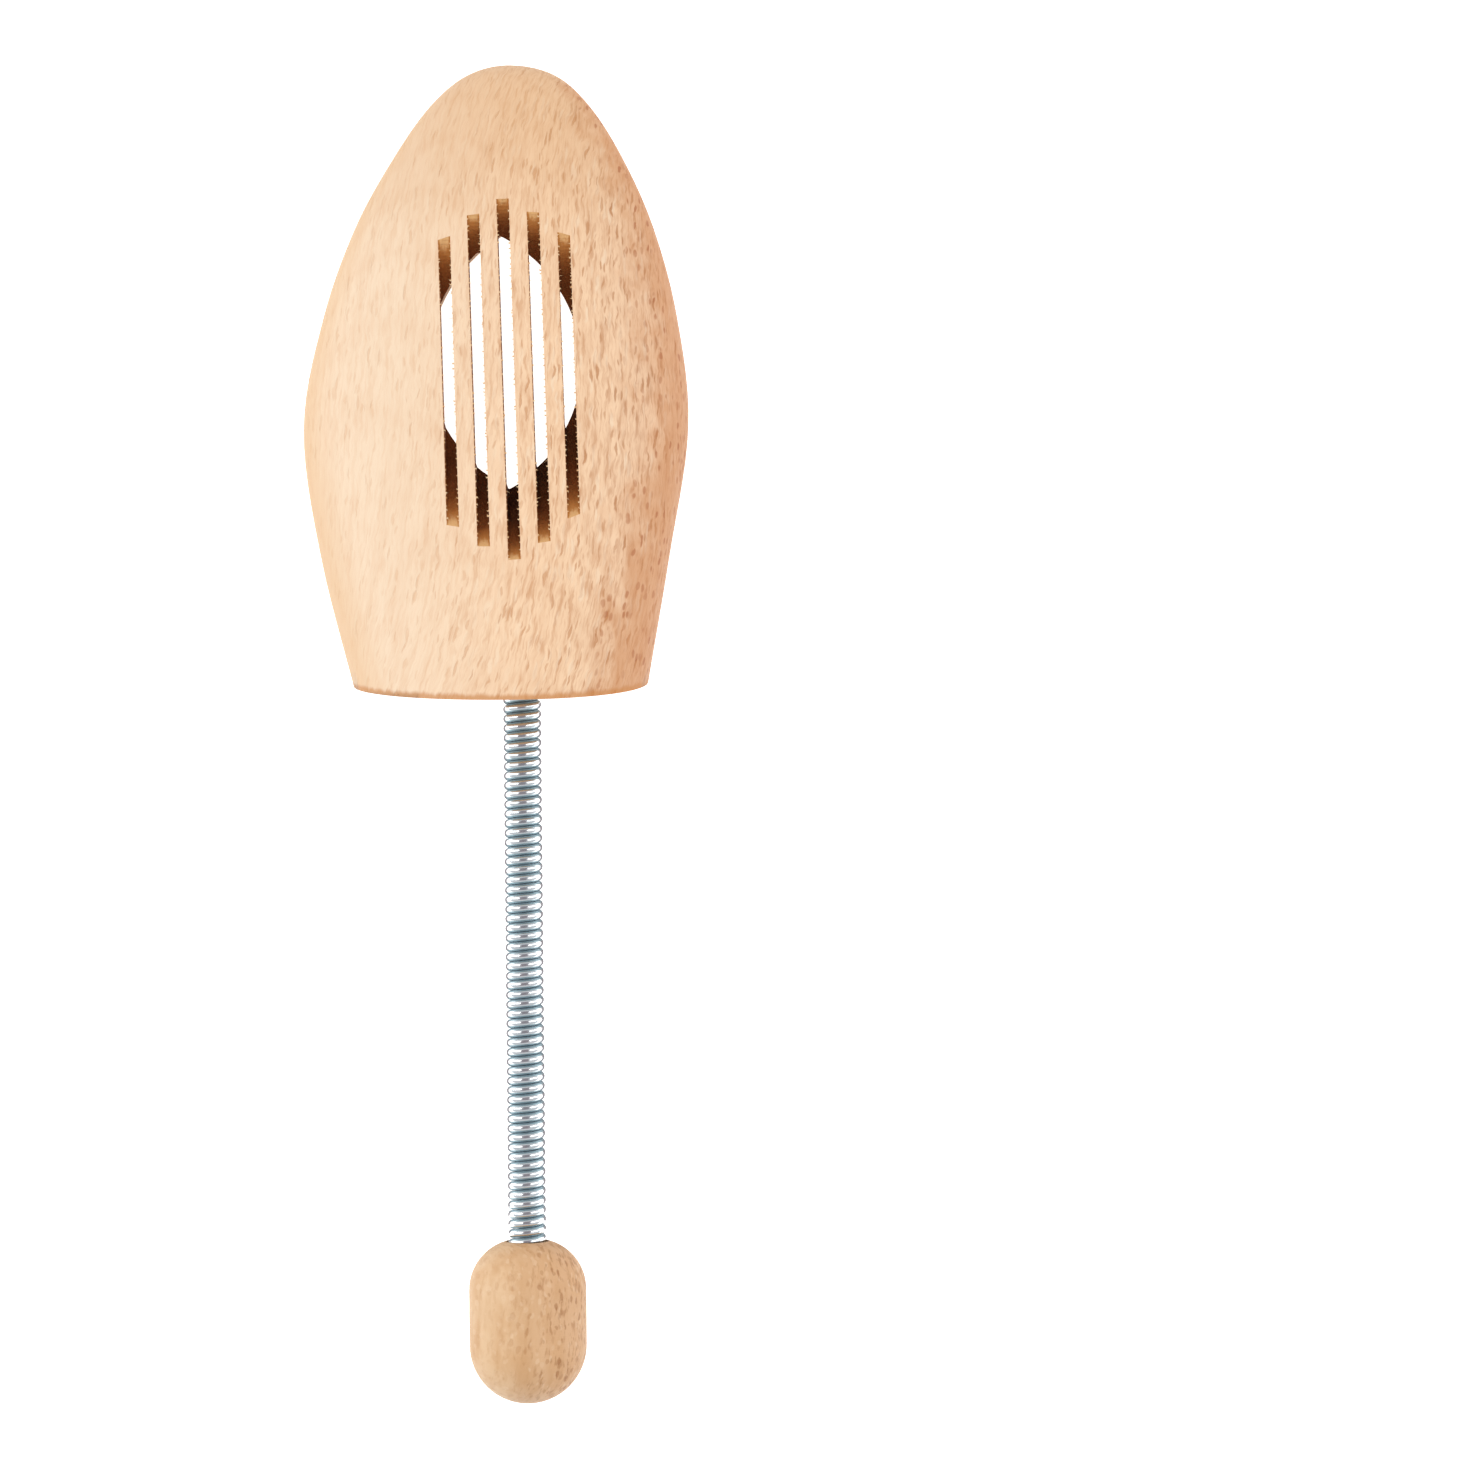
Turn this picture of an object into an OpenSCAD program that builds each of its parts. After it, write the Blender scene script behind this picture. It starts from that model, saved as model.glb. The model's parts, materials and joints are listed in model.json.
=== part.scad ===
// Spring shoe tree: a beech forepart block and a turned heel knob,
// joined by a closely wound steel coil that bends to fit the shoe.
// +Y points to the toe, +Z up, and the flat sole lies on z = 0.
// The origin is on the sole, under the line of the coil, which runs back
// from the block along -Y. Distances named "from_rear" start at the rear face.

/* [Block] */
// Length from the rear face to the tip of the toe, at the height of the coil
block_length = 129.7; // [110:0.1:150]
// Distance from the origin back to the rear face, at the height of the coil
rear_distance = 20; // [10:1:30]
// Lean of the rear face, which overhangs the coil, in degrees
rear_lean = 8; // [0:0.5:10]
// Diameter of the drilled socket in the rear face
block_socket_d = 8.3; // [8.2:0.1:9]
// Depth of the drilled socket in the rear face
block_socket_depth = 20; // [12:1:28]

/* [Slots] */
// Number of saw-cut air slots
slot_count = 5; // [3:2:7]
// Width of one slot
slot_width = 2.6; // [1.6:0.1:3.2]
// Distance between neighbouring slots
slot_pitch = 6.2; // [5:0.1:8]
// Radius of the saw blade that cuts the slots
blade_radius = 60; // [45:1:90]
// Turn of the slots away from the coil's line, in degrees
slot_turn = 1.8; // [0:0.1:3]

/* [Hollow] */
// Radius of the two arcs that bound the hollow at its roof
hollow_arc_r = 28.8; // [26:0.1:34]
// Width of the hollow across the middle
hollow_width = 30.2; // [20:0.2:36]
// How much larger the hollow is at the sole than at its roof
hollow_flare = 1.16; // [1.02:0.02:1.3]
// Thickness of the wood above the hollow
roof_thickness = 4.6; // [4:0.1:6]

/* [Coil] */
// Outer diameter of the coil
coil_d = 8; // [7.6:0.1:8.1]
// Wire diameter
wire_d = 1.96; // [1.6:0.02:1.98]
// Distance from one turn to the next
coil_pitch = 2; // [2:0.01:2.2]
// Turns of coil showing between the block and the knob
open_turns = 58.5; // [40:0.5:70]
// Turns seated in the block
block_turns = 9.5; // [5:0.5:12]
// Turns seated in the knob
knob_turns = 6.5; // [4:0.5:8]

/* [Knob] */
// Diameter of the heel knob
knob_d = 24.6; // [20:0.1:30]
// Length of the heel knob
knob_length = 34.4; // [28:0.1:44]
// Diameter of the drilled socket in the knob
knob_socket_d = 8.8; // [8.2:0.1:9.4]

/* [Hidden] */
// Rigid runs that the open coil is divided into
run_count = 25;

// Stations run from the tip of the toe (0) to past the rear face (1), and
// their distance from the tip grows with the square, which rounds the toe.
loft_length = 136;
loft_half_width = [0, 9.2, 16.7, 23.9, 31.3, 37.2, 40.4, 36.4, 29.6];
loft_centre = [-1.4, -1.2, -1.5, -2.0, -2.9, -3.9, -4.9, -5.2, -4.0];
// The crown runs straight while the sides swing outwards
loft_ridge = -1.8;
loft_top = [11, 15.6, 18.8, 21.8, 25.2, 28.6, 32.2, 36.2, 40.6];
loft_sole = [11, 6.4, 3.8, 1.7, 0.3, -0.8, -1, -1, -1];
// Height of the widest line, as a share of the section, and how much
// higher it lies at the toe
loft_waist = 0.4;
toe_waist_rise = 0.1;
// Powers of the section's upper and lower curves: 2 is an ellipse
crown_power = 2.15;
sole_power = 3.4;
loft_rings = 56;
ring_points = 56;

run_turns = 2.25;
// Turn at which the first run starts, counted from the block's rear face
first_cut = (open_turns - run_count * run_turns) / 2;
// The first cut lies at the bottom of the coil
first_angle = 180;
// Half of the hairline between two runs, in degrees along the wire
cut_half = 0.5;
coil_r = (coil_d - wire_d) / 2;
coil_z = knob_d / 2;
knob_front_y = -rear_distance - open_turns * coil_pitch;
// The socket is half a turn deeper than the seated coil
knob_socket_depth = (knob_turns + 0.5) * coil_pitch;
steps_per_turn = 12;
wire_sides = 8;

// Half-lengths of the slots at the surface, from the middle slot outwards
slot_half = [38.2, 35.2, 31.4, 24];
slot_mid_from_rear = 62.6;
slot_mid_x = -1.3;
slot_mid_z = 30.3;
// Slope of the crown along the slots, in degrees
crown_slope = 8.8;
hollow_mid_from_rear = 66.1;
hollow_mid_x = -2.4;
hollow_offset = hollow_arc_r - hollow_width / 2;
// The cutter's height, which passes the sloping roof at its highest
hollow_height = 31.7;
// How far a cut starts outside the wood
overcut = 1;

peg_d = 3.8;
peg_tip = 0.6;
peg_point_length = 2;
// Rounding of the knob's front edge; its rear end is a half ball
knob_front_r = 10.5;
arc_steps = 16;
beech = [0.93, 0.80, 0.64];
knob_beech = [0.85, 0.70, 0.53];
zinc = [0.76, 0.80, 0.82];
peg_wood = [0.80, 0.66, 0.47];
big = 200;

function run_name(i) = str("spring_run_", i < 10 ? "0" : "", i);

// Smooth curve through a list of values at even steps of q, from 0 to 1.
// Before the first value it carries on with the given value.
function smooth(list, q, before) =
    let (n = len(list) - 1,
         i = min(n - 1, floor(q * n)),
         t = q * n - i,
         a = i == 0 ? before : list[i - 1],
         b = list[i],
         c = list[i + 1],
         d = i == n - 1 ? 2 * c - b : list[i + 2])
    0.5 * (2 * b + (c - a) * t + (2 * a - 5 * b + 4 * c - d) * t * t
        + (3 * b - a - 3 * c + d) * t * t * t);

function bent(value, power) = sign(value) * pow(abs(value), 2 / power);

// One point of a section: angle 0 is the right side, 90 the crown
function section_point(q, angle) =
    let (half = smooth(loft_half_width, q, -loft_half_width[1]),
         mid = smooth(loft_centre, q, loft_centre[1]),
         top = smooth(loft_top, q, loft_sole[1]),
         sole = smooth(loft_sole, q, loft_top[1]),
         waist = sole + (top - sole) * (loft_waist + toe_waist_rise * pow(1 - q, 2)),
         power = sin(angle) > 0 ? crown_power : sole_power,
         rise = sin(angle) > 0 ? top - waist : waist - sole,
         lean = (loft_ridge - mid) * pow(max(0, sin(angle)), 2))
    [mid + half * bent(cos(angle), power) + lean,
     block_length - rear_distance - loft_length * q * q,
     waist + rise * bent(sin(angle), power)];

module loft() {
    tip = [section_point(0, 0)];
    rings = [for (i = [1 : loft_rings], j = [0 : ring_points - 1])
        section_point(i / loft_rings, 360 * j / ring_points)];
    nose = [for (j = [0 : ring_points - 1])
        [0, 1 + (j + 1) % ring_points, 1 + j]];
    sides = [for (i = [0 : loft_rings - 2], j = [0 : ring_points - 1])
        let (a = 1 + i * ring_points, b = a + ring_points, k = (j + 1) % ring_points)
        each [[a + j, a + k, b + k], [a + j, b + k, b + j]]];
    rear = [[for (j = [0 : ring_points - 1]) 1 + (loft_rings - 1) * ring_points + j]];
    polyhedron(concat(tip, rings), concat(nose, sides, rear));
}

// Places its children at a slot's middle, on the crown's slope
module on_crown() {
    translate([slot_mid_x, slot_mid_from_rear - rear_distance, slot_mid_z])
        rotate([0, 0, slot_turn])
            rotate([-crown_slope, 0, 0])
                children();
}

module slots() {
    on_crown()
        for (i = [-(slot_count - 1) / 2 : (slot_count - 1) / 2])
            let (lift = sqrt(pow(blade_radius, 2) - pow(slot_half[abs(i)], 2)))
            translate([i * slot_pitch, 0, lift])
                rotate([0, 90, 0])
                    cylinder(h = slot_width, r = blade_radius, center = true, $fn = 96);
}

// The hollow is open below, pointed at both ends, with a flat sloping roof
module hollow() {
    difference() {
        translate([hollow_mid_x, hollow_mid_from_rear - rear_distance, -overcut])
            rotate([0, 0, slot_turn])
                linear_extrude(height = hollow_height, scale = 1 / hollow_flare)
                    scale(hollow_flare)
                        intersection() {
                            translate([-hollow_offset, 0]) circle(r = hollow_arc_r, $fn = 96);
                            translate([hollow_offset, 0]) circle(r = hollow_arc_r, $fn = 96);
                        }
        on_crown()
            translate([-big / 2, -big / 2, -roof_thickness])
                cube([big, big, big]);
    }
}

// The block before its slots are sawn: flat sole, leaning rear face, hollow
// and socket
module blank() {
    difference() {
        loft();
        translate([-big / 2, -big / 2, -big])
            cube([big, big, big]);
        translate([0, -rear_distance, coil_z])
            rotate([rear_lean, 0, 0])
                translate([-big / 2, -big, -big / 2])
                    cube([big, big, big]);
        hollow();
        translate([0, block_socket_depth - rear_distance, coil_z])
            rotate([90, 0, 0])
                cylinder(h = block_socket_depth + overcut, d = block_socket_d, $fn = 64);
    }
}

module block() {
    color(beech)
        difference() {
            blank();
            slots();
        }
}

// A stretch of the wire from one turn to another, counted from the rear face
module wire(from_turn, to_turn) {
    steps = ceil((to_turn - from_turn) * steps_per_turn);
    lead = atan(coil_pitch / (2 * PI * coil_r));
    points = [for (i = [0 : steps], j = [0 : wire_sides - 1])
        let (turn = from_turn + (to_turn - from_turn) * i / steps,
             angle = first_angle - 360 * (turn - first_cut),
             side = 360 * (j + 0.5) / wire_sides,
             out = coil_r + wire_d / 2 * cos(side),
             up = wire_d / 2 * sin(side))
        [out * sin(angle) - up * sin(lead) * cos(angle),
         -rear_distance - coil_pitch * turn + up * cos(lead),
         coil_z + out * cos(angle) + up * sin(lead) * sin(angle)]];
    walls = [for (i = [0 : steps - 1], j = [0 : wire_sides - 1])
        let (a = i * wire_sides, b = a + wire_sides, k = (j + 1) % wire_sides)
        each [[a + j, b + k, a + k], [a + j, b + j, b + k]]];
    start = [[for (j = [0 : wire_sides - 1]) j]];
    end = [[for (j = [wire_sides - 1 : -1 : 0]) steps * wire_sides + j]];
    color(zinc) polyhedron(points, concat(walls, start, end));
}

module spring_run(i) {
    start = first_cut + (i - 1) * run_turns;
    wire(start + cut_half / 360, start + run_turns - cut_half / 360);
}

module spring_end_block() {
    wire(-block_turns, first_cut - cut_half / 360);
}

module spring_end_knob() {
    wire(open_turns - first_cut + cut_half / 360, open_turns + knob_turns);
}

// A pointed peg along -Y, with its head at the origin
module peg(length) {
    color(peg_wood)
        rotate([90, 0, 0])
            rotate_extrude($fn = 48)
                polygon([[0, 0], [peg_d / 2, 0], [peg_d / 2, length - peg_point_length],
                         [peg_tip, length], [0, length]]);
}

module block_peg() {
    translate([0, block_socket_depth - rear_distance, coil_z])
        peg(block_turns * coil_pitch);
}

module knob_peg() {
    translate([0, knob_front_y - knob_socket_depth, coil_z])
        mirror([0, 1, 0])
            peg(knob_socket_depth);
}

module knob() {
    r = knob_d / 2;
    front = [for (i = [0 : arc_steps])
        let (angle = 90 * i / arc_steps)
        [r - knob_front_r * (1 - sin(angle)), knob_front_r * (1 - cos(angle))]];
    rear = [for (i = [0 : arc_steps])
        let (angle = 90 * i / arc_steps)
        [r * cos(angle), knob_length - r * (1 - sin(angle))]];
    color(knob_beech)
        translate([0, knob_front_y, coil_z])
            rotate([90, 0, 0])
                difference() {
                    rotate_extrude($fn = 96)
                        polygon(concat([[0, 0]], front, rear));
                    translate([0, 0, -overcut])
                        cylinder(h = knob_socket_depth + overcut, d = knob_socket_d, $fn = 64);
                }
}

block();
block_peg();
spring_end_block();
for (i = [1 : run_count]) spring_run(i);
spring_end_knob();
knob_peg();
knob();
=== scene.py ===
import json
import math
import random

import bpy
from mathutils import Matrix, Vector

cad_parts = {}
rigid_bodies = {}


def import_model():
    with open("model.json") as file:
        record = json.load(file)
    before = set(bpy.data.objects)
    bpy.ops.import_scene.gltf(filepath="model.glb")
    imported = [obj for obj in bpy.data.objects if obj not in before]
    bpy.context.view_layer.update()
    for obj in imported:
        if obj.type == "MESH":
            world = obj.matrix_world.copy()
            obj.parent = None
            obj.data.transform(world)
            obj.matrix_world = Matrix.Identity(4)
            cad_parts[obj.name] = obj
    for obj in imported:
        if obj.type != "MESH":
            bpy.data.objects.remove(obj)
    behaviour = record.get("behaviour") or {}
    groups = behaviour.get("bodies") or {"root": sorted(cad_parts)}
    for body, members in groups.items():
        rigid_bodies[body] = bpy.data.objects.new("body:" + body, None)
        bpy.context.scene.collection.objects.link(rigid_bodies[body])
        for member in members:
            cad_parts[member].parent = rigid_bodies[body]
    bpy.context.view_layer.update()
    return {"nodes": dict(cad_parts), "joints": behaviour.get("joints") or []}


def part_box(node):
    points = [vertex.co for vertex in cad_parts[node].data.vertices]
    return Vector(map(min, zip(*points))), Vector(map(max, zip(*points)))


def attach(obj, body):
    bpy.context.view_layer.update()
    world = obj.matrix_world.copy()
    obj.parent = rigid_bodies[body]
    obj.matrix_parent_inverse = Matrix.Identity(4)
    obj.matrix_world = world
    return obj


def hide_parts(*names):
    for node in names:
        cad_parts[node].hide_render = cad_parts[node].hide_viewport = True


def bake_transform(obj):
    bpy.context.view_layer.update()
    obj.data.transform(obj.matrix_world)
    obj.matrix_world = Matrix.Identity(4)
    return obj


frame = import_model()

MM = 0.001

# The frame's own places
KNOB_LOW, KNOB_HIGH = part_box("knob")
COIL_Z = (KNOB_LOW.z + KNOB_HIGH.z) / 2
HINGES = [Vector(joint["pos_m"]) for joint in frame["joints"]]
BODIES = [frame["joints"][0]["parent"]] + [joint["child"] for joint in frame["joints"]]

# The coil, as the frame has it
COIL_R = max(abs(hinge.x) for hinge in HINGES)
TURNS_PER_RUN = 2.25
PITCH = (HINGES[0].y - HINGES[1].y) / TURNS_PER_RUN
WIRE_R = 0.49 * PITCH
FIRST_CUT = HINGES[0].y
SEATED_BLOCK = (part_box("spring_end_block")[1].y - WIRE_R - FIRST_CUT) / PITCH
SEATED_KNOB = (HINGES[-1].y - WIRE_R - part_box("spring_end_knob")[0].y) / PITCH
WIRE_SIDES = 20
CREST = "crest"
STEPS_PER_TURN = 36
HALF_RUN = TURNS_PER_RUN / 2
QUARTER_RUN = TURNS_PER_RUN / 4

# The rear face, the crown and the slots sawn in it, in millimetres
REAR_Y = -20
REAR_LEAN = math.radians(8)
SLOT_MID = Vector((-1.3, 42.6, 30.3))
SLOT_TURN = math.radians(1.8)
CROWN_SLOPE = math.radians(8.8)
CROWN_CURVE = 0.0058
SLOT_PITCH = 6.2
SLOT_WIDTH = 2.6
SLOT_HALF = [31.4, 35.2, 38.2, 35.2, 31.4]
BLADE_R = 60
HOLLOW_MID = Vector((-2.4, 46.1))
HOLLOW_HALF = Vector((17.6, 29.6))
ROOF = 4

# Edges that are eased, and how far out from the coil's line the knob's mouth reaches
REAR_RIM_EASE = 0.7 * MM
MOUTH_EASE = 0.55 * MM
MOUTH_REACH = 4.6 * MM

# Angles under which a surface looks smooth, in degrees
SMOOTH_WOOD = 32
SMOOTH_WIRE = 40
SMOOTH_FIBRE = 50

# How near two points must be to be one
WELD = 1e-6
WIRE_WELD = 1e-7

# The Mix node's sockets for colours
MIX_FACTOR, MIX_FIRST, MIX_SECOND, MIX_RESULT = 0, 6, 7, 2


# ---- Modelling helpers ----

def deselect():
    for obj in bpy.data.objects:
        obj.select_set(False)


def activate(obj):
    deselect()
    bpy.context.view_layer.objects.active = obj
    obj.select_set(True)


def name_piece(obj, name):
    obj.name = name
    obj.data.name = name
    return obj


def apply_place(obj):
    activate(obj)
    bpy.ops.object.transform_apply(location=True, rotation=True, scale=True)


def apply_modifiers(obj):
    activate(obj)
    for modifier in list(obj.modifiers):
        bpy.ops.object.modifier_apply(modifier=modifier.name)


def outward(obj):
    activate(obj)
    bpy.ops.object.mode_set(mode="EDIT")
    bpy.ops.mesh.select_all(action="SELECT")
    bpy.ops.mesh.normals_make_consistent(inside=False)
    bpy.ops.object.mode_set(mode="OBJECT")


def smooth(obj, degrees):
    activate(obj)
    bpy.ops.object.shade_smooth_by_angle(angle=math.radians(degrees))


def merged_copy(node, name):
    """A CAD node's mesh as one closed skin, in a new object."""
    source = frame["nodes"][node]
    obj = bpy.data.objects.new(name, source.data.copy())
    bpy.context.scene.collection.objects.link(obj)
    obj.data.materials.clear()
    activate(obj)
    bpy.ops.object.mode_set(mode="EDIT")
    bpy.ops.mesh.select_all(action="SELECT")
    bpy.ops.mesh.remove_doubles(threshold=WELD)
    bpy.ops.object.mode_set(mode="OBJECT")
    return obj


# ---- Shader helpers ----

class Value:
    """A socket with arithmetic: each operator adds its Math node."""

    def __init__(self, graph, socket):
        self.graph = graph
        self.socket = socket

    def math(self, operation, *others):
        return self.graph.node("ShaderNodeMath", {"operation": operation}, [self, *others])

    def __add__(self, other):
        return self.math("ADD", other)

    def __radd__(self, other):
        return self.math("ADD", other)

    def __sub__(self, other):
        return self.math("SUBTRACT", other)

    def __rsub__(self, other):
        return self.graph.node("ShaderNodeMath", {"operation": "SUBTRACT"}, [other, self])

    def __mul__(self, other):
        return self.math("MULTIPLY", other)

    def __rmul__(self, other):
        return self.math("MULTIPLY", other)

    def __pow__(self, other):
        return self.math("POWER", other)

    def sine(self):
        return self.math("SINE")

    def size(self):
        return self.math("ABSOLUTE")

    def fraction(self):
        return self.math("FRACT")

    def other(self, output):
        """Another output of the same node."""
        return Value(self.graph, self.socket.node.outputs[output])

    def step(self, low, high):
        """0 at low, 1 at high and beyond, with a smooth change between them."""
        settings = {"interpolation_type": "SMOOTHSTEP"}
        return self.graph.node("ShaderNodeMapRange", settings,
                               {"Value": self, "From Min": low, "From Max": high})


class Graph:
    """A material's nodes, with its Principled shader."""

    def __init__(self, name, **constants):
        self.material = bpy.data.materials.new(name)
        self.material.use_nodes = True
        self.tree = self.material.node_tree
        self.shader = self.tree.nodes["Principled BSDF"]
        for socket, value in constants.items():
            self.shader.inputs[socket.replace("_", " ")].default_value = value

    def node(self, kind, settings=None, inputs=None, output=0):
        """Adds a node: its settings first, then the values or links of its sockets."""
        made = self.tree.nodes.new(kind)
        for key, value in (settings or {}).items():
            setattr(made, key, value)
        pairs = inputs.items() if isinstance(inputs, dict) else enumerate(inputs or [])
        for key, value in pairs:
            if isinstance(value, Value):
                self.tree.links.new(value.socket, made.inputs[key])
            else:
                made.inputs[key].default_value = value
        return Value(self, made.outputs[output])

    def millimetres(self):
        """The place on the piece, as x, y and z in millimetres."""
        place = self.node("ShaderNodeTexCoord", output="Object")
        scaled = self.node("ShaderNodeVectorMath", {"operation": "SCALE"},
                           {"Vector": place, "Scale": 1 / MM})
        return self.axes(scaled)

    def axes(self, vector):
        split = self.node("ShaderNodeSeparateXYZ", None, [vector])
        return split, split.other("Y"), split.other("Z")

    def vector(self, x, y, z):
        return self.node("ShaderNodeCombineXYZ", None, [x, y, z])

    def noise(self, vector, detail=2.0, roughness=0.5):
        return self.node("ShaderNodeTexNoise", None,
                         {"Vector": vector, "Scale": 1.0, "Detail": detail,
                          "Roughness": roughness}, output="Fac")

    def blend(self, factor, a, b):
        """Mixes two colours, given as links or as (r, g, b)."""
        first, second = (tone if isinstance(tone, Value) else (*tone, 1) for tone in (a, b))
        return self.node("ShaderNodeMix", {"data_type": "RGBA"},
                         {MIX_FACTOR: factor, MIX_FIRST: first, MIX_SECOND: second},
                         output=MIX_RESULT)

    def bump(self, height, distance, strength=1.0):
        return self.node("ShaderNodeBump", None,
                         {"Height": height, "Distance": distance, "Strength": strength},
                         output="Normal")

    def feed(self, **links):
        for socket, value in links.items():
            self.tree.links.new(value.socket, self.shader.inputs[socket.replace("_", " ")])
        return self.material


def linear(red, green, blue):
    """A colour given as 0 to 255 screen values, in linear light."""
    return tuple(((c / 255 + 0.055) / 1.055) ** 2.4 for c in (red, green, blue))


# ---- Materials ----

class Timber:
    """Where a point of a piece lay in the log: round the heart, along the grain and out from it."""

    def __init__(self, g, heart_x, heart_z, drift):
        self.g = g
        self.x, self.y, self.z = g.millimetres()
        wander = g.noise(g.vector(self.x * 0.03, self.y * 0.012, self.z * 0.03)) - 0.5
        across = self.x - drift(self.y) + wander * 5 - heart_x
        height = self.z - heart_z
        self.out = (across * across + height * height) ** 0.5
        ripple = g.noise(g.vector(self.x * 0.5, self.y * 0.28, self.z * 0.5)) - 0.5
        self.round = across.math("ARCTAN2", height) * abs(heart_z) + ripple * 1.1
        self.wander = wander

    def at(self, round_gap, along_gap, out_gap):
        """The place in cells of the given size, in millimetres."""
        return self.g.vector(self.round * (1 / round_gap), self.y * (1 / along_gap),
                             self.out * (1 / out_gap))

    def streaks(self, round_gap, along_gap, out_gap, detail=2.0):
        return self.g.noise(self.at(round_gap, along_gap, out_gap), detail)

    def rays(self, round_gap, along_gap, out_gap, reach, share):
        """Spindle-shaped ends of the wood's rays: one to a cell, and only a share of them strong."""
        near = self.g.node("ShaderNodeTexVoronoi", {"feature": "F1"},
                           {"Vector": self.at(round_gap, along_gap, out_gap), "Scale": 1.0})
        strength = self.g.axes(near.other("Color"))[0].step(1 - share, 1)
        return near.step(reach, reach * 0.6) * strength

    def rings(self, gap):
        """The dark late wood of each year."""
        wave = ((self.out + self.wander * 2) * (2 * math.pi / gap)).sine()
        return (wave * 0.5 + 0.5) ** 5


def normal_axes(g):
    return g.axes(g.node("ShaderNodeTexCoord", output="Normal"))


def block_drift(y):
    """The grain leans to the right towards both ends of the block."""
    return y * 0.03 + (y - 45) ** 3 * 0.000024


def beech(g, wood, pale, fleck, contrast):
    """Lays streaks, growth rings and ray flecks over a pale ground."""
    soft = wood.streaks(0.8, 26, 5, 3.0)
    fibre = wood.streaks(0.24, 3.2, 1.5)
    lines = wood.streaks(0.5, 7, 3, 3.0)
    broad = wood.rays(0.80, 7.0, 9, 0.30, 0.9)
    short = wood.rays(0.52, 4.0, 4, 0.34, 0.95)
    bright = wood.rays(0.7, 5.2, 7, 0.46, 0.9)
    tone = g.blend(soft.step(0.40, 0.70) * 0.26, pale, g.blend(0.55, pale, fleck))
    tone = g.blend(wood.rings(2.7) * 0.08, tone, fleck)
    tone = g.blend(bright * contrast * 0.8, tone, linear(255, 229, 197))
    tone = g.blend(fibre.step(0.42, 0.70) * contrast * 0.40, tone, fleck)
    tone = g.blend(lines.step(0.52, 0.68) * contrast * 0.62, tone, fleck)
    tone = g.blend(short * contrast * 0.85, tone, fleck)
    tone = g.blend(broad * contrast, tone, fleck)
    height = fibre * 0.5 - lines * 0.8 - broad - short * 0.6
    return tone, height


def block_beech():
    g = Graph("block_beech", Roughness=0.62, IOR=1.45)
    wood = Timber(g, 6, -72, block_drift)
    turn_x, turn_y, _ = normal_axes(g)
    middle = wood.x.step(-30, 10)
    right = wood.x.step(4, 36)
    pale = g.blend(middle, linear(252, 224, 192), linear(255, 216, 176))
    pale = g.blend(right, pale, linear(252, 211, 172))
    fleck = g.blend(middle, linear(224, 164, 110), linear(198, 128, 70))
    fleck = g.blend(right, fleck, linear(168, 98, 46))
    tone, height = beech(g, wood, pale, fleck, middle * 0.34 + right * 0.12 + 0.26)
    # The toe is ruddier, with cloudy patches. Surfaces facing right are darker and ruddier: partly a
    # ruddier side-grain tone, partly painted shade from the light falling from the left
    cloud = wood.streaks(3.2, 6, 4, 3.0)
    tone = g.blend((wood.y + cloud * 14).step(66, 112) * 0.42, tone, linear(222, 170, 118))
    side = (turn_x + cloud * 0.7 - 0.35).step(0.28, 0.85)
    tone = g.blend(side * 0.62, tone, linear(206, 132, 70))
    # Dark mottle only on surfaces facing right: partly wood, partly painted shade on the side turned
    # from the light
    mottle = wood.rays(0.8, 2.6, 3, 0.42, 0.8)
    tone = g.blend(mottle * (turn_x + cloud * 0.5 - 0.25).step(0.35, 0.65) * 0.7, tone,
                   linear(174, 92, 34))
    # Surfaces facing left turn a warmer orange: partly a warmer side-grain tone, partly painted shade
    # at the grazing left edge
    tone = g.blend(turn_x.step(-0.50, -0.95) * 0.6, tone, linear(236, 190, 138))
    # End grain on the rear face, and an orange band along the rear rim
    ended = turn_y.step(-0.75, -0.95)
    tone = g.blend(ended * 0.55, tone, linear(206, 156, 108))
    inside = wood.y - REAR_Y + (wood.z - COIL_Z / MM) * math.tan(REAR_LEAN)
    tick = g.noise(g.vector(wood.x * 0.9, wood.y * 0.2, wood.z * 0.4), 3.0)
    rear_rim_band = (inside - tick * 1.4).step(0.9, -0.2) * (1 - ended)
    tone = g.blend(rear_rim_band * 0.72, tone, linear(206, 134, 66))
    return g.feed(Base_Color=tone, Normal=g.bump(height, 0.00007))


def milled_beech():
    """The hollow's walls and roof, with the rings that the cutter leaves."""
    g = Graph("milled_beech", Roughness=0.75)
    wood = Timber(g, 6, -72, block_drift)
    tone, height = beech(g, wood, linear(236, 200, 158), linear(190, 138, 92), 0.6)
    passes = (wood.z * (2 * math.pi / 1.4)).sine() * 0.5 + 0.5
    tone = g.blend(passes * 0.12, tone, linear(176, 118, 70))
    return g.feed(Base_Color=tone, Normal=g.bump(height + passes * 0.6, 0.00005))


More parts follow.
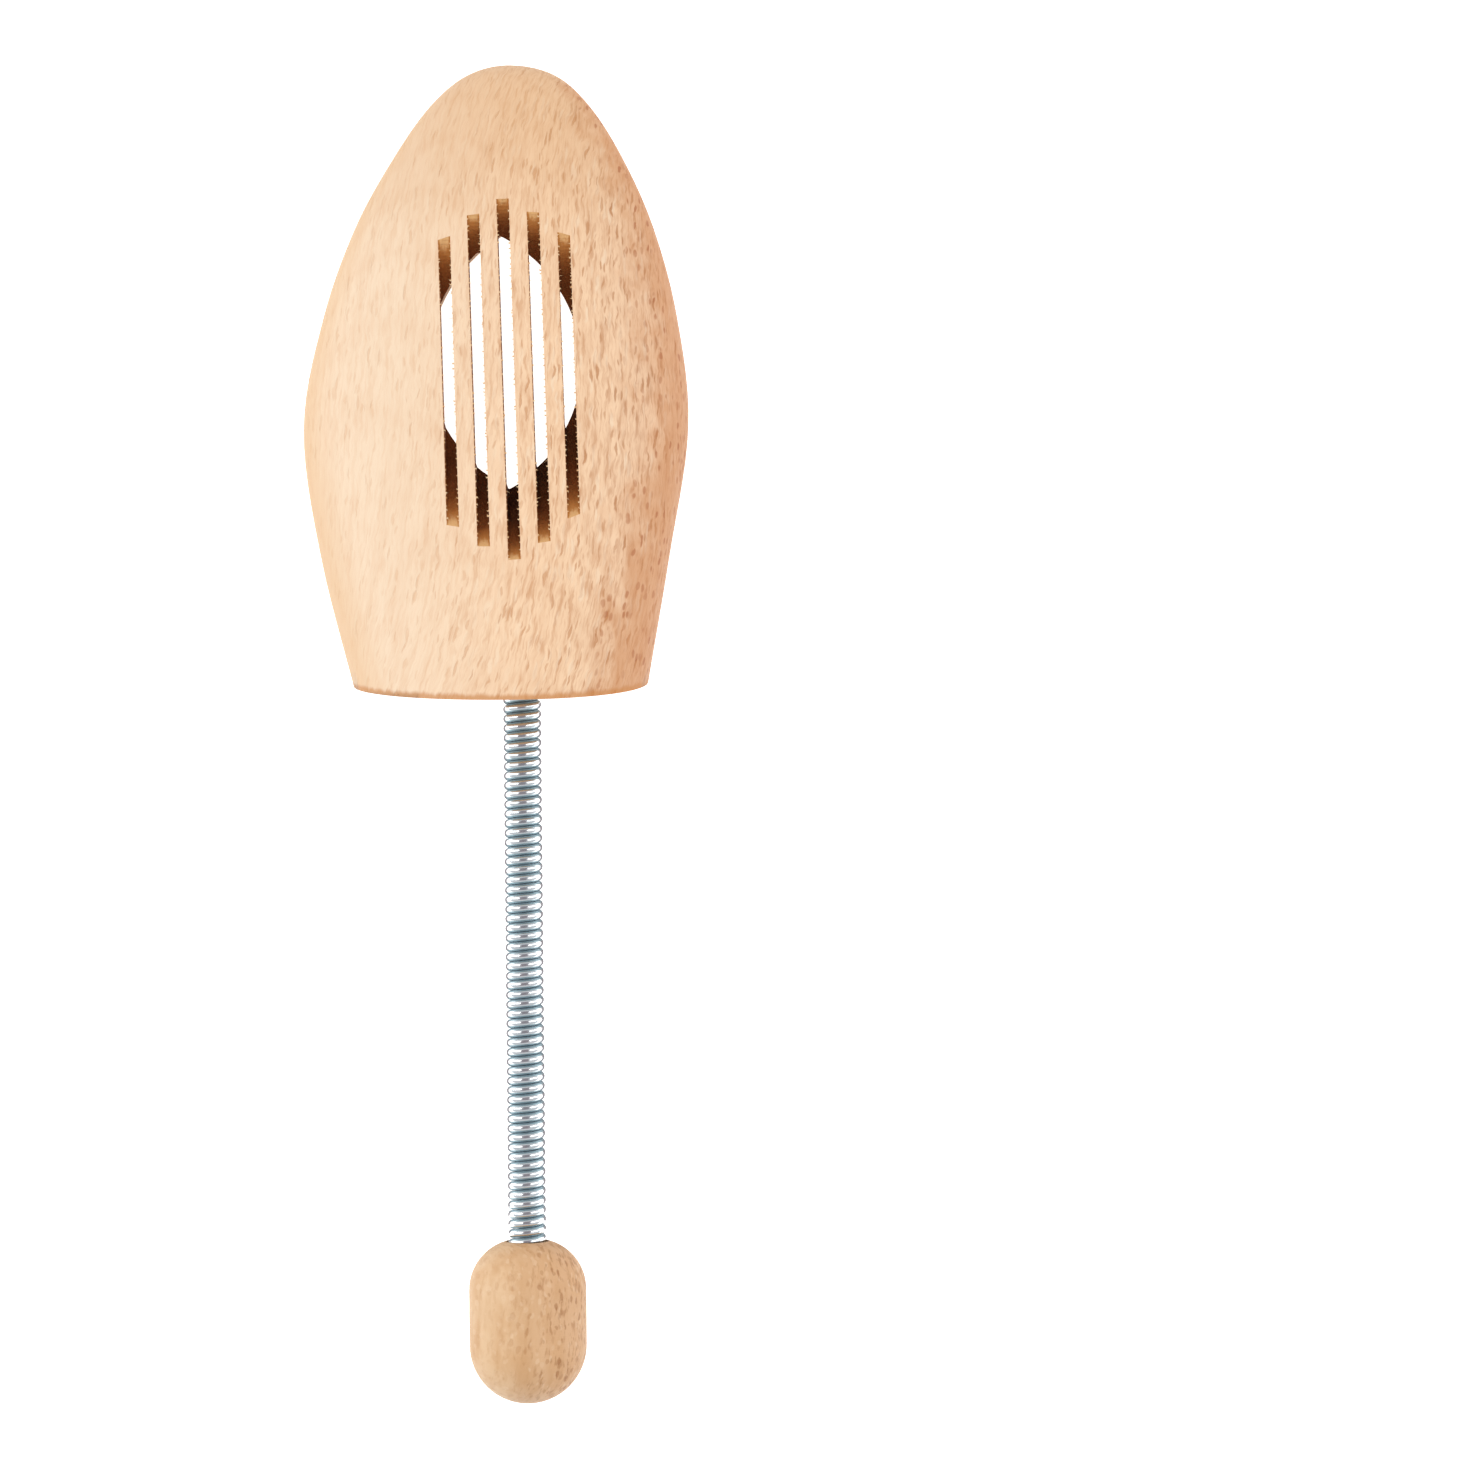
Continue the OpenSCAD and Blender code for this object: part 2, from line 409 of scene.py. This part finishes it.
def sawn_beech():
    """The slots' walls and floors: pale where the blade ran out, darker further down, partly scorched
    by the blade and partly painted shade of the deep, narrow slot.
    """
    g = Graph("sawn_beech", Roughness=0.85)
    x, y, z = g.millimetres()
    side, ahead = x - SLOT_MID.x, y - SLOT_MID.y
    crown = SLOT_MID.z - ahead * math.tan(CROWN_SLOPE) - side * side * CROWN_CURVE
    across = side * math.cos(SLOT_TURN) + ahead * math.sin(SLOT_TURN)
    from_middle = (((across * (1 / SLOT_PITCH) + 0.5).fraction() - 0.5) * SLOT_PITCH).size()
    # The teeth's set leaves the floor lower along its two sides, so it is darker there: partly the
    # deeper groove, partly painted shadow along the walls
    edge = from_middle.step(0.28 * SLOT_WIDTH, 0.44 * SLOT_WIDTH)
    ragged = g.noise(g.vector(x * 2.2, y * 0.9, z * 0.9), 3.0, 0.6) - 0.5
    below = crown - z - 1.0 + edge * 1.1 + ragged * 1.9
    tone = g.blend(below.step(-0.6, 0.3), linear(228, 176, 116), linear(200, 132, 64))
    tone = g.blend(below.step(0.4, 3.6), tone, linear(152, 88, 38))
    # Darkest deep down and towards the right slots: partly scorch, partly painted shade inside the
    # narrow slots
    depth = g.blend(side.step(-15, 4), linear(122, 66, 28), linear(64, 31, 13))
    tone = g.blend(below.step(3.0, 9.0), tone, depth)
    hair = g.noise(g.vector(x * 3.0, y * 1.4, z * 1.4), 3.0, 0.65)
    tone = g.blend(hair.step(0.55, 0.70) * 0.42, tone, linear(206, 144, 82))
    # Arcs that the blade leaves
    marks = ((y * 0.8 + z * 0.6) * (2 * math.pi / 0.8)).sine() * 0.3
    return g.feed(Base_Color=tone, Normal=g.bump(hair + marks, 0.00012))


def knob_beech():
    g = Graph("knob_beech", Roughness=0.55, IOR=1.45)
    wood = Timber(g, -34, -46, lambda y: y * 0.05)
    right = wood.x.step(-9, 9)
    pale = g.blend(right, linear(237, 198, 154), linear(226, 179, 134))
    fleck = g.blend(right, linear(196, 138, 82), linear(164, 104, 52))
    cloud = g.noise(g.vector(wood.x * 0.22, wood.y * 0.10, wood.z * 0.22), 3.0)
    band = (wood.x - 0.6 + cloud * 2).size().step(4.0, 0.5)
    tone = g.blend(cloud.step(0.40, 0.66) * 0.34, pale, linear(214, 160, 104))
    tone = g.blend(band * 0.22, tone, linear(198, 142, 86))
    soft = wood.streaks(0.8, 14, 3, 3.0)
    lines = wood.streaks(0.5, 3.4, 2, 3.0)
    tone = g.blend(soft.step(0.45, 0.72) * 0.30, tone, linear(206, 152, 98))
    dots = wood.rays(0.8, 3.0, 3.2, 0.36, 0.9)
    short = wood.rays(0.5, 1.8, 2.4, 0.38, 0.9)
    bright = wood.rays(0.7, 1.9, 2.6, 0.44, 0.8)
    tone = g.blend(bright * 0.35, tone, linear(248, 214, 176))
    tone = g.blend(lines.step(0.52, 0.70) * (right * 0.40 + 0.16), tone, fleck)
    tone = g.blend(short * (right * 0.32 + 0.16), tone, fleck)
    tone = g.blend(dots * (right * 0.46 + 0.18), tone, fleck)
    # Faint rings from turning
    turned = ((wood.y * (2 * math.pi / 0.55)).sine() * 0.5 + 0.5) * 0.15
    return g.feed(Base_Color=tone, Normal=g.bump(turned - dots - lines * 0.6, 0.00006))


def zinc_wire():
    """Bright plate, rougher and with painted shade where neighbouring turns nearly touch, and further
    round the wire towards the coil's inside.
    """
    g = Graph("zinc_wire", Metallic=1.0)
    x, y, z = g.millimetres()
    cloud = g.noise(g.vector(x * 0.4, y * 0.4, z * 0.4), 3.0)
    drawn = g.noise(g.vector(x * 0.6, y * 4.0, z * 0.6))
    crest = g.node("ShaderNodeAttribute", {"attribute_name": CREST}, output="Fac")
    tone = g.blend(cloud.step(0.35, 0.7), linear(234, 236, 238), linear(220, 228, 231))
    # Painted shade in the crevices where neighbouring turns nearly touch: a dark teal tone off the
    # crest
    gap = (crest + cloud * 0.06).step(0.90, 0.79)
    tone = g.blend(gap, tone, linear(156, 182, 188))
    # More painted shade further round the wire, towards the coil's inside
    tone = g.blend(crest.step(0.72, 0.55), tone, linear(196, 210, 216))
    roughness = cloud * 0.10 + drawn * 0.04 + gap * 0.30 + 0.12
    return g.feed(Base_Color=tone, Roughness=roughness, Normal=g.bump(drawn, 0.000008, 0.5))


def peg_wood():
    g = Graph("peg_wood", Roughness=0.7)
    wood = Timber(g, 0, -30, lambda y: y * 0)
    grain = wood.streaks(0.5, 14, 1.2, 3.0)
    tone = g.blend(grain.step(0.4, 0.7), linear(224, 188, 140), linear(188, 142, 92))
    return g.feed(Base_Color=tone, Normal=g.bump(grain, 0.00005))


def torn_fibre():
    g = Graph("torn_fibre", Roughness=0.8)
    x, y, z = g.millimetres()
    mottle = g.noise(g.vector(x * 2, y * 2, z * 2))
    tone = g.blend(mottle.step(0.35, 0.65), linear(246, 214, 168), linear(222, 170, 112))
    return g.feed(Base_Color=tone, Normal=g.bump(mottle, 0.00003))


def floor_white():
    g = Graph("floor_white", Roughness=0.9, Base_Color=(0.9, 0.9, 0.9, 1),
              Emission_Color=(1, 1, 1, 1), Emission_Strength=1.0)
    return g.material


# ---- Pieces ----

def wire_stretch(name, first_turn, last_turn, finish):
    """A stretch of the coil, wound from one turn to another, counted from the first hinge."""
    turns = last_turn - first_turn
    angle = math.pi - 2 * math.pi * first_turn
    deselect()
    bpy.ops.mesh.primitive_circle_add(vertices=WIRE_SIDES, radius=WIRE_R, fill_type="NGON",
                                      location=(0, 0, COIL_R), rotation=(0, math.pi / 2, 0))
    obj = name_piece(bpy.context.object, name)
    apply_place(obj)
    obj.rotation_euler = (0, angle, 0)
    apply_place(obj)
    winding = obj.modifiers.new("winding", "SCREW")
    winding.axis = "Y"
    winding.angle = -2 * math.pi * turns
    winding.screw_offset = -PITCH * turns
    winding.steps = winding.render_steps = round(STEPS_PER_TURN * turns)
    winding.use_merge_vertices = False
    apply_modifiers(obj)
    obj.location = (0, FIRST_CUT - PITCH * first_turn, COIL_Z)
    apply_place(obj)
    close_ends(obj)
    outward(obj)
    smooth(obj, SMOOTH_WIRE)
    mark_crest(obj)
    obj.data.materials.append(finish)
    return obj


def mark_crest(obj):
    """Notes at each point how far it is out from the wire's centre line: 1 on the coil's outside."""
    crest = obj.data.attributes.new(CREST, "FLOAT", "POINT")
    for note, vertex in zip(crest.data, obj.data.vertices):
        out = math.hypot(vertex.co.x, vertex.co.z - COIL_Z)
        note.value = (out - COIL_R) / WIRE_R


def close_ends(obj):
    activate(obj)
    bpy.ops.object.mode_set(mode="EDIT")
    bpy.ops.mesh.select_all(action="SELECT")
    bpy.ops.mesh.remove_doubles(threshold=WIRE_WELD)
    bpy.ops.mesh.select_all(action="DESELECT")
    bpy.ops.mesh.select_mode(type="EDGE")
    bpy.ops.mesh.select_non_manifold(extend=False, use_multi_face=False, use_non_contiguous=False,
                                     use_verts=False, use_wire=False, use_boundary=True)
    bpy.ops.mesh.edge_face_add()
    bpy.ops.mesh.select_mode(type="VERT")
    bpy.ops.object.mode_set(mode="OBJECT")


def make_spring():
    """One wire, wound in stretches that meet end to end. All but the seated two lie centred on a
    hinge.
    """
    finish = zinc_wire()
    head = wire_stretch("wire_in_block", -SEATED_BLOCK, -QUARTER_RUN, finish)
    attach(head, BODIES[0])
    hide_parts("spring_end_block")
    last_index = len(HINGES) - 1
    for index in range(len(HINGES)):
        middle = TURNS_PER_RUN * index
        start = -QUARTER_RUN if index == 0 else middle - HALF_RUN
        end = middle + (QUARTER_RUN if index == last_index else HALF_RUN)
        stretch = wire_stretch(f"wire_{index + 1:02d}", start, end, finish)
        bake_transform(stretch)
        if index < last_index:
            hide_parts(f"spring_run_{index + 1:02d}")
    last = TURNS_PER_RUN * last_index
    tail = wire_stretch("wire_in_knob", last + QUARTER_RUN, last + SEATED_KNOB, finish)
    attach(tail, BODIES[-1])
    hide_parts("spring_end_knob")


def slot_place(point):
    """A point's slot number, from 0 at the left, its distances from that slot's middle line and
    from the slots' middle, and its depth under the crown, all in millimetres."""
    side, ahead = point.x / MM - SLOT_MID.x, point.y / MM - SLOT_MID.y
    across = side * math.cos(SLOT_TURN) + ahead * math.sin(SLOT_TURN)
    along = ahead * math.cos(SLOT_TURN) - side * math.sin(SLOT_TURN)
    number = min(2, max(-2, round(across / SLOT_PITCH)))
    crown = SLOT_MID.z - ahead * math.tan(CROWN_SLOPE) - CROWN_CURVE * side * side
    return number + 2, across - number * SLOT_PITCH, along, crown - point.z / MM


def blade_gap(point):
    """How far a point is from the round cut of its slot's blade, in millimetres."""
    number, _, along, _ = slot_place(point)
    on_slope = along * math.cos(CROWN_SLOPE) - (point.z / MM - SLOT_MID.z) * math.sin(CROWN_SLOPE)
    lifted = along * math.sin(CROWN_SLOPE) + (point.z / MM - SLOT_MID.z) * math.cos(CROWN_SLOPE)
    lift = math.sqrt(BLADE_R ** 2 - SLOT_HALF[number] ** 2)
    return abs(math.hypot(on_slope, lifted - lift) - BLADE_R)


def is_sawn(corners):
    """True for a face of a slot's wall or floor."""
    places = [slot_place(corner) for corner in corners]
    if any(abs(along) > SLOT_HALF[number] + 1 for number, _, along, _ in places):
        return False
    offsets = [place[1] for place in places]
    wall = SLOT_WIDTH / 2
    if all(abs(offset - wall) < 0.02 for offset in offsets):
        return True
    if all(abs(offset + wall) < 0.02 for offset in offsets):
        return True
    return (all(abs(offset) < wall + 0.02 for offset in offsets)
            and all(blade_gap(corner) < 0.12 for corner in corners))


def is_milled(centre):
    """True for a place on the hollow's walls and roof."""
    depth = slot_place(centre)[3]
    return (depth > ROOF and centre.z / MM > 0.05
            and abs(centre.x / MM - HOLLOW_MID.x) < HOLLOW_HALF.x
            and abs(centre.y / MM - HOLLOW_MID.y) < HOLLOW_HALF.y)


def select_edges(obj, wanted):
    """Selects the edges that wanted(edge) picks, and leaves the object in edit mode."""
    activate(obj)
    bpy.ops.object.mode_set(mode="EDIT")
    bpy.ops.mesh.select_mode(type="EDGE")
    bpy.ops.mesh.select_all(action="DESELECT")
    bpy.ops.object.mode_set(mode="OBJECT")
    for edge in obj.data.edges:
        edge.select = wanted(edge)
    bpy.ops.object.mode_set(mode="EDIT")


def finish_edit():
    bpy.ops.mesh.select_mode(type="VERT")
    bpy.ops.object.mode_set(mode="OBJECT")


def round_rear_rim(obj):
    """Takes the sharp edge off the rear face's rim."""
    lean = math.tan(REAR_LEAN)
    points = [vertex.co for vertex in obj.data.vertices]

    def on_rear(point):
        return abs(point.y / MM - REAR_Y + (point.z - COIL_Z) / MM * lean) < 0.01

    faces = {}
    for face in obj.data.polygons:
        for key in face.edge_keys:
            faces.setdefault(key, []).append(face)

    def on_rim(edge):
        low, high = (points[index] for index in edge.vertices)
        if not (on_rear(low) and on_rear(high)):
            return False
        if math.hypot(low.x, low.z - COIL_Z) < COIL_R * 2:
            return False
        flat = [face.normal.y < -0.98 for face in faces[edge.key]]
        return any(flat) and not all(flat)

    select_edges(obj, on_rim)
    bpy.ops.mesh.bevel(offset=REAR_RIM_EASE, offset_type="OFFSET", segments=3, affect="EDGES")
    finish_edit()


def part_finishes(obj):
    """Keeps the edges between two finishes sharp, however flat they meet."""
    sides = {}
    for face in obj.data.polygons:
        for key in face.edge_keys:
            sides.setdefault(key, set()).add(face.material_index)
    select_edges(obj, lambda edge: len(sides[edge.key]) > 1)
    bpy.ops.mesh.mark_sharp()
    finish_edit()


def make_block():
    obj = merged_copy("block", "forepart")
    for finish in (block_beech(), sawn_beech(), milled_beech()):
        obj.data.materials.append(finish)
    for face in obj.data.polygons:
        if is_sawn([obj.data.vertices[index].co for index in face.vertices]):
            face.material_index = 1
        elif is_milled(face.center):
            face.material_index = 2
    round_rear_rim(obj)
    smooth(obj, SMOOTH_WOOD)
    part_finishes(obj)
    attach(obj, "block")
    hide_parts("block")
    return obj


def make_knob():
    """The knob, with its socket's mouth eased."""
    obj = merged_copy("knob", "turned_knob")
    obj.data.materials.append(knob_beech())
    points = [vertex.co for vertex in obj.data.vertices]
    mouth = max(point.y for point in points)

    def on_mouth(edge):
        return all(abs(points[index].y - mouth) < 0.2 * MM
                   and math.hypot(points[index].x, points[index].z - COIL_Z) < MOUTH_REACH
                   for index in edge.vertices)

    select_edges(obj, on_mouth)
    bpy.ops.mesh.bevel(offset=MOUTH_EASE, offset_type="OFFSET", segments=3, affect="EDGES")
    finish_edit()
    smooth(obj, SMOOTH_WOOD)
    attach(obj, "knob")
    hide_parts("knob")


def one_splinter():
    """A crooked sliver, a millimetre long, that points along +Z."""
    deselect()
    bpy.ops.mesh.primitive_cone_add(vertices=5, radius1=0.07 * MM, depth=MM,
                                    location=(0, 0, 0.5 * MM))
    sliver = name_piece(bpy.context.object, "slot_fibres")
    apply_place(sliver)
    bpy.ops.object.mode_set(mode="EDIT")
    bpy.ops.mesh.select_all(action="SELECT")
    bpy.ops.mesh.bisect(plane_co=(0, 0, 0.5 * MM), plane_no=(0, 0, 1))
    bpy.ops.transform.translate(value=(0.06 * MM, 0, 0))
    bpy.ops.mesh.select_all(action="DESELECT")
    bpy.ops.object.mode_set(mode="OBJECT")
    sliver.data.materials.append(torn_fibre())
    return sliver


def slot_edge(block, number, edge, along):
    """The crown beside a slot, on its left (-1) or right (1) edge, or None past the wood."""
    across = (number - 2) * SLOT_PITCH + edge * (SLOT_WIDTH / 2 + 0.06)
    x = SLOT_MID.x + across * math.cos(SLOT_TURN) - along * math.sin(SLOT_TURN)
    y = SLOT_MID.y + along * math.cos(SLOT_TURN) + across * math.sin(SLOT_TURN)
    hit, place, _, _ = block.ray_cast(Vector((x, y, 60)) * MM, Vector((0, 0, -1)))
    return place if hit else None


def place_splinter(first, place, heading, size):
    """Copies the first splinter, turns it along its heading and scales it, in millimetres."""
    copy = first.copy()
    copy.data = first.data.copy()
    bpy.context.scene.collection.objects.link(copy)
    turn = heading.to_track_quat("Z", "Y").to_matrix().to_4x4()
    copy.matrix_world = Matrix.Translation(place) @ turn @ Matrix.Diagonal((*size, 1))
    return copy


def make_fibres(block):
    """Torn nibs all along the slots' rims, and a few longer fibres across them."""
    shake = random.Random(11)
    first = one_splinter()
    copies = []
    for number, half in enumerate(SLOT_HALF):
        for edge in (-1, 1):
            along = 0.4 - half
            while along < half - 0.4:
                place = slot_edge(block, number, edge, along)
                long_one = shake.random() < 0.06
                length = shake.uniform(0.6, 1.5) if long_one else shake.uniform(0.22, 0.62)
                width = shake.uniform(0.7, 1.2) if long_one else shake.uniform(2.2, 4.8)
                heading = Vector((-edge, shake.uniform(-0.9, 0.9), shake.uniform(-0.5, 0)))
                if place:
                    below = place - Vector((0, 0, 0.11 * MM))
                    copies.append(place_splinter(first, below, heading, (width, 1, length)))
                along += shake.uniform(0.6, 1.8)
    bpy.data.objects.remove(first)
    activate(copies[0])
    for copy in copies:
        copy.select_set(True)
    bpy.ops.object.join()
    fibres = name_piece(bpy.context.object, "slot_fibres")
    apply_place(fibres)
    outward(fibres)
    smooth(fibres, SMOOTH_FIBRE)
    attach(fibres, "block")


def dress(node, finish):
    """Gives a CAD node its finish."""
    source = frame["nodes"][node]
    source.data.materials.clear()
    source.data.materials.append(finish)


# ---- Studio ----

def make_floor():
    deselect()
    bpy.ops.mesh.primitive_plane_add(size=6, location=(0, 0, -0.0002))
    floor = name_piece(bpy.context.object, "floor")
    floor.data.materials.append(floor_white())
    floor.visible_diffuse = False


def soft_light(name, place, size, power, target):
    deselect()
    bpy.ops.object.light_add(type="AREA", location=place)
    lamp = bpy.context.object
    lamp.name = name
    lamp.data.shape = "RECTANGLE"
    lamp.data.size, lamp.data.size_y = size
    lamp.data.energy = power
    lamp.rotation_euler = (target - Vector(place)).to_track_quat("-Z", "Y").to_euler()


def make_card(name, place, size, colour):
    """A dim level card, which only the bright metal shows."""
    deselect()
    bpy.ops.mesh.primitive_plane_add(size=1, location=place)
    card = name_piece(bpy.context.object, name)
    card.scale = size
    apply_place(card)
    g = Graph(name, Roughness=1.0, Base_Color=(0, 0, 0, 1), Emission_Strength=1.0,
              Emission_Color=(*colour, 1))
    card.data.materials.append(g.material)
    card.visible_camera = card.visible_diffuse = card.visible_shadow = False


def make_lights():
    middle = Vector((0, -10 * MM, 20 * MM))
    soft_light("left_box", (-1.1, 0.15, 0.75), (0.5, 1.6), 7.5, middle)
    soft_light("right_box", (1.1, 0.15, 0.75), (0.5, 1.6), 6, middle)
    open_coil = (HINGES[0].y + HINGES[-1].y) / 2
    make_card("overhead_card", (0, open_coil, 0.62), (0.60, 0.80, 1), linear(138, 130, 136))
    # A painted shadow: this grey card under the coil stands for the coil's shade on the floor, seen
    # only in the metal's reflections
    make_card("coil_shadow_card", (0, open_coil, 0.0003), (0.044, 0.116, 1), linear(160, 152, 155))
    world = bpy.data.worlds.new("studio")
    world.use_nodes = True
    world.node_tree.nodes["Background"].inputs["Color"].default_value = (0.95, 0.97, 1.0, 1)
    world.node_tree.nodes["Background"].inputs["Strength"].default_value = 0.68
    bpy.context.scene.world = world
    bpy.context.scene.view_settings.view_transform = "Standard"


def make_camera():
    """Straight above, over a point to the right of the coil, with the coil's line leaning a little."""
    height = 905 * MM
    frame_width = 306.6 * MM
    lean = math.radians(0.556)
    data = bpy.data.cameras.new("camera")
    camera = bpy.data.objects.new("camera", data)
    bpy.context.scene.collection.objects.link(camera)
    camera.location = (43.6 * MM, -30.5 * MM, height)
    camera.rotation_euler = (0, 0, -lean)
    data.sensor_width = 36
    data.lens = data.sensor_width * (height - COIL_Z) / frame_width
    data.clip_start, data.clip_end = 0.05, 20
    bpy.context.scene.camera = camera


make_camera()
make_floor()
make_lights()
make_fibres(make_block())
make_spring()
make_knob()
for peg in ("block_peg", "knob_peg"):
    dress(peg, peg_wood())
